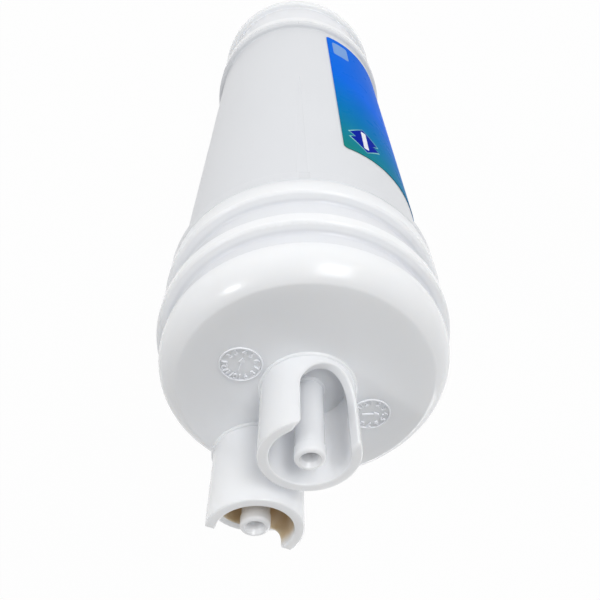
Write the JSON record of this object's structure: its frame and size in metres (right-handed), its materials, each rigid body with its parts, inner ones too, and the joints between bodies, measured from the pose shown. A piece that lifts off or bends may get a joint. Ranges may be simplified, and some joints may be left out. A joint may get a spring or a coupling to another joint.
{
  "type": "inline sediment filter",
  "caption": "Slim white water filter cartridge with shrouded push-in inlet and outlet nipples on one end, a closed far end with stepped collars, and a blue printed label.",
  "frame": {"origin": "middle of the closed end's flat face, on the body's axis", "axes": "+Z along the body from the closed end to the ports, +X from the outlet on the axis towards the inlet"},
  "size_m": [0.064, 0.064, 0.2375],
  "materials": {
    "housing_plastic": "white moulded polypropylene, satin gloss",
    "tube_plastic": "white extruded polypropylene, satin",
    "label_film": "printed film, blue fading to green, glossy",
    "filter_fibre": "melt-blown polypropylene fibre",
    "inner_plastic": "natural white polypropylene",
    "seal_rubber": "black nitrile rubber"
  },
  "bodies": {
    "root": {"port_cap": "housing_plastic", "housing_tube": "tube_plastic", "base_cap": "housing_plastic", "label": "label_film", "sediment_element": "filter_fibre", "support_core": "inner_plastic", "outlet_end_plate": "inner_plastic", "closed_end_plate": "inner_plastic", "spigot_seals": "seal_rubber"}
  },
  "joints": []
}
